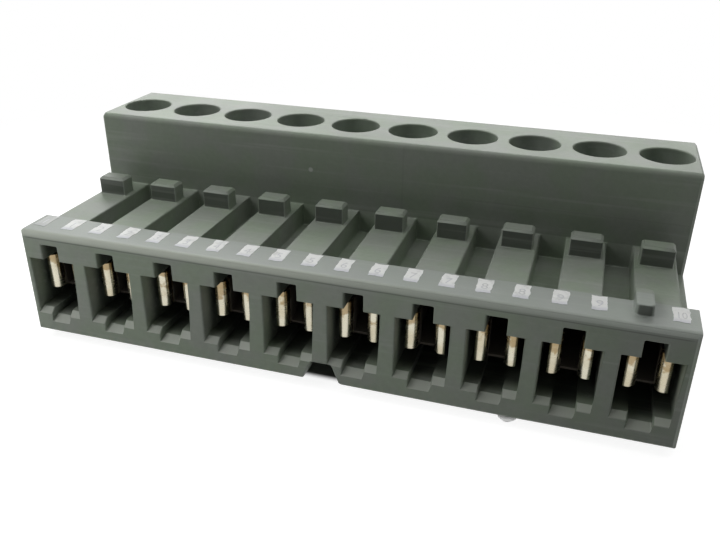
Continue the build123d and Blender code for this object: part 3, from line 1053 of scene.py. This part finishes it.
class SetStage(bpy.types.Operator):
    """Set the floor, the soft lights, the pale room and the camera"""

    bl_idname = "terminal_block.set_stage"
    bl_label = "Set stage"

    def execute(self, context):
        looks = context.scene.block_stage
        scene = context.scene
        scene.view_settings.view_transform = "Standard"
        lay_floor(looks)
        surround(scene, looks)
        middle = (0.0, 0.0, 0.008)
        under_front = (-0.08, -0.05, 0.0)
        hang_light("back_light", looks.back_power, side=0.14, place=(0.0, 0.182, 0.123), aim=middle)
        hang_light("top_light", looks.top_power, side=0.14, place=(0.0, 0.0, 0.22), aim=middle)
        hang_light("side_light", looks.side_power, side=0.06, place=(-0.07, 0.085, 0.08), aim=middle)
        hang_light("right_light", looks.right_power, side=0.06, place=(0.1, 0.04, 0.13), aim=middle)
        hang_light("front_light", looks.front_power, side=0.08, place=(-0.08, -0.05, 0.08), aim=under_front)
        place_camera(scene, looks)
        return {"FINISHED"}


def background_rays(tree):
    """A mask of the rays that show the background: from the camera, off a gloss, or through glass."""
    path = add_node(tree, "ShaderNodeLightPath").outputs
    indirect = maths(tree, "MAXIMUM", path["Is Glossy Ray"], path["Is Transmission Ray"])
    return maths(tree, "MAXIMUM", path["Is Camera Ray"], indirect)


def lay_floor(looks):
    """A plain pale floor: white to the camera, but for the object's shadow near and under it."""
    half = looks.floor_size / 2
    corners = [(-half, -half, 0), (half, -half, 0), (half, half, 0), (-half, half, 0)]
    mesh = bpy.data.meshes.new("floor")
    mesh.from_pydata(corners, [], [(0, 1, 2, 3)])
    material = bpy.data.materials.new("floor_paper")
    material.use_nodes = True
    tree = material.node_tree
    tree.nodes.remove(tree.nodes["Principled BSDF"])
    place = add_node(tree, "ShaderNodeTexCoord").outputs["Object"]
    paper = mixed(tree, noise(tree, place, 400.0, 3.0), grey(0.88), grey(0.92))
    real = add_node(tree, "ShaderNodeBsdfDiffuse", {"Color": paper})

    # Under the block the paper is as dark as it is; round it a white veil leaves only a faint shadow
    x, y, _ = axes(tree, place)
    beside = ramp(tree, maths(tree, "ABSOLUTE", x), cad_high.x - 0.6 * MM, cad_high.x)
    before = ramp(tree, y, front_y + 2.2 * MM, front_y + 1.4 * MM)
    behind = ramp(tree, y, cad_high.y - 0.6 * MM, cad_high.y)
    clear = maths(tree, "MAXIMUM", beside, maths(tree, "MAXIMUM", before, behind))
    away = add_node(tree, "ShaderNodeVectorMath", {0: place}, operation="LENGTH").outputs["Value"]
    far = ramp(tree, away, 35.0 * MM, 85.0 * MM)
    veil = add_node(tree, "ShaderNodeEmission", {
        "Color": grey(1.0), "Strength": product(tree, clear, ramp(tree, far, 0.0, 1.0, 0.9, 1.0))})
    shade = mixed(tree, far, grey(0.4), grey(0.0))
    shown = add_node(tree, "ShaderNodeBsdfDiffuse", {"Color": shade})
    bright = add_node(tree, "ShaderNodeAddShader", {0: shown.outputs[0], 1: veil.outputs[0]})
    final = add_node(
        tree, "ShaderNodeMixShader", {0: background_rays(tree), 1: real.outputs[0], 2: bright.outputs[0]})

    # Seen from below, the floor is not there
    from_below = product(tree, add_node(tree, "ShaderNodeLightPath").outputs["Is Camera Ray"],
                         add_node(tree, "ShaderNodeNewGeometry").outputs["Backfacing"])
    glass = add_node(tree, "ShaderNodeBsdfTransparent")
    sided = add_node(tree, "ShaderNodeMixShader", {0: from_below, 1: final.outputs[0], 2: glass.outputs[0]})
    tree.links.new(sided.outputs[0], tree.nodes["Material Output"].inputs["Surface"])
    new_piece("floor", mesh, material)


def surround(scene, looks):
    """A pale room: white where it is seen or mirrored, and a plain soft light on everything else."""
    world = bpy.data.worlds.new("pale_room")
    scene.world = world
    world.use_nodes = True
    tree = world.node_tree
    back = tree.nodes["Background"]
    back.inputs["Color"].default_value = grey(1.0)
    strength = add_node(
        tree, "ShaderNodeMapRange",
        {"Value": background_rays(tree), "To Min": looks.surround, "To Max": 1.0})
    tree.links.new(strength.outputs["Result"], back.inputs["Strength"])


def hang_light(name, power, side, place, aim):
    """A square soft light that shines towards a point."""
    lamp = bpy.data.lights.new(name, "AREA")
    lamp.shape = "SQUARE"
    lamp.size = side
    lamp.energy = power
    holder = placed(name, lamp)
    holder.location = place
    holder.rotation_euler = (Vector(aim) - Vector(place)).to_track_quat("-Z", "Y").to_euler()


def place_camera(scene, looks):
    """The camera at the photograph's viewing angle."""
    camera = bpy.data.cameras.new("camera")
    camera.lens = looks.lens
    camera.sensor_width = 36.0
    camera.clip_start, camera.clip_end = 0.002, 10.0
    holder = placed("camera", camera)
    place, aim = Vector(looks.camera_place), Vector(looks.camera_aim)
    turned = (aim - place).to_track_quat("-Z", "Y").to_matrix() @ Matrix.Rotation(looks.roll, 3, "Z")
    holder.matrix_world = Matrix.Translation(place) @ turned.to_4x4()
    scene.camera = holder


class TerminalBlockPanel(bpy.types.Panel):
    """The steps that dress the terminal block, with the values that they use"""

    bl_idname = "VIEW3D_PT_terminal_block"
    bl_label = "Terminal block"
    bl_space_type = "VIEW_3D"
    bl_region_type = "UI"
    bl_category = "Terminal block"

    def draw(self, context):
        for step in steps:
            self.layout.operator(step.bl_idname)
        for owner in looks_owners:
            box = self.layout.box()
            group = getattr(context.scene, owner)
            for name in group.__annotations__:
                box.prop(group, name)


looks_owners = {
    "block_housing": HousingLooks,
    "block_print": PrintLooks,
    "block_metal": MetalLooks,
    "block_screw": ScrewLooks,
    "block_stage": StageLooks,
}
steps = (MouldHousing, PressPeg, FoldContacts, DrawCages, TurnScrews, PrintMarkers, SetStage)


def register():
    """Registers the classes and hangs the looks on the scene."""
    for kind in (*looks_owners.values(), *steps, TerminalBlockPanel):
        bpy.utils.register_class(kind)
    for owner, kind in looks_owners.items():
        setattr(bpy.types.Scene, owner, PointerProperty(type=kind))


def unregister():
    """Takes the looks off the scene and unregisters the classes."""
    for owner in looks_owners:
        delattr(bpy.types.Scene, owner)
    for kind in (TerminalBlockPanel, *reversed(steps), *reversed(looks_owners.values())):
        bpy.utils.unregister_class(kind)


def main():
    register()
    bpy.ops.terminal_block.mould_housing()
    bpy.ops.terminal_block.press_peg()
    bpy.ops.terminal_block.fold_contacts()
    bpy.ops.terminal_block.draw_cages()
    bpy.ops.terminal_block.turn_screws()
    bpy.ops.terminal_block.print_markers()
    bpy.ops.terminal_block.set_stage()


if __name__ == "__main__":
    main()
